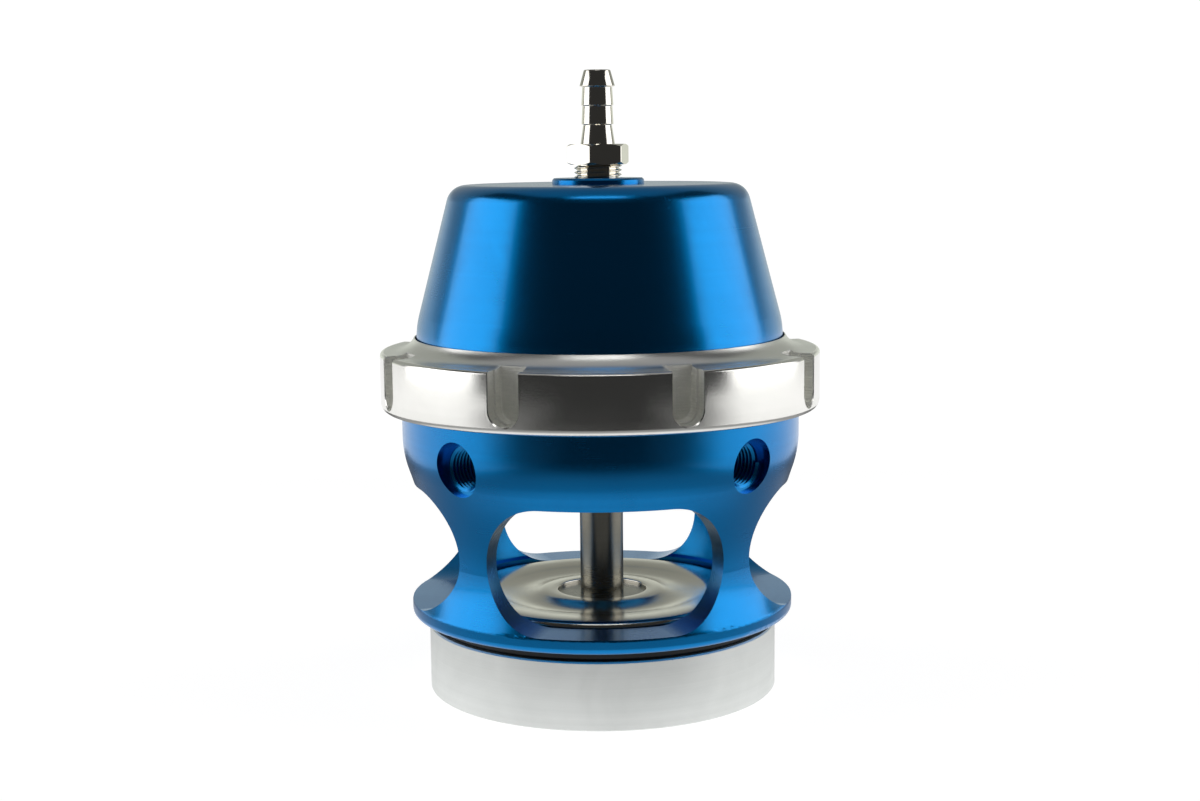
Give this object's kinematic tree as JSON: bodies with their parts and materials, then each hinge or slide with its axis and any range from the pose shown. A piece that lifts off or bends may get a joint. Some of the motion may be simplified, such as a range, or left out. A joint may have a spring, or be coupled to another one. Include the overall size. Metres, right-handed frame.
{
  "type": "blow-off valve",
  "caption": "Blue anodised blow-off valve with a spring-loaded disc behind open windows, a weld-on base ring, a locking collar and a hose barb on top.",
  "frame": {"origin": "centre of the weld flange's bottom face, on the stem's axis", "axes": "+Z along the stem from the weld flange towards the hose barb, -Y through the middle of the front window, +X to the right when looking at that window"},
  "size_m": [0.0952, 0.0952, 0.1338],
  "materials": {
    "flange_aluminium": "fine matte, as machined",
    "turned_aluminium": "bright, fine turned",
    "inner_aluminium": "plain machined",
    "blue_anodised": "satin blue anodised",
    "stainless": "fine turned and polished",
    "stem_steel": "ground",
    "spring_steel": "oiled, shot peened",
    "zinc_steel": "zinc plated",
    "nickel_brass": "bright nickel plated",
    "bronze": "plain sintered bronze",
    "black_rubber": "smooth moulded",
    "diaphragm_rubber": "fabric reinforced, matte"
  },
  "bodies": {
    "housing": {"weld_flange": "flange_aluminium", "base_seal": "black_rubber", "body": "blue_anodised", "seat_seal": "black_rubber", "guide_bush": "bronze", "stem_seal": "black_rubber", "seal_retainer": "zinc_steel", "cap": "blue_anodised", "collar": "turned_aluminium", "hose_barb": "nickel_brass", "diaphragm": "diaphragm_rubber", "outer_spring": "spring_steel", "inner_spring": "spring_steel"},
    "valve": {"valve_stem": "stem_steel", "valve_disc": "stainless", "disc_washer": "zinc_steel", "disc_nut": "zinc_steel", "lower_plate": "inner_aluminium", "spring_seat": "inner_aluminium", "stem_washer": "zinc_steel", "stem_nut": "zinc_steel"}
  },
  "joints": [
    {"name": "valve_lift", "type": "slide", "parent": "housing", "child": "valve", "axis": [0, 0, 1], "range_m": [0, 0.012], "stiffness_N_per_m": 9000, "springref_m": -0.01, "deforming": ["diaphragm", "outer_spring", "inner_spring"]}
  ]
}
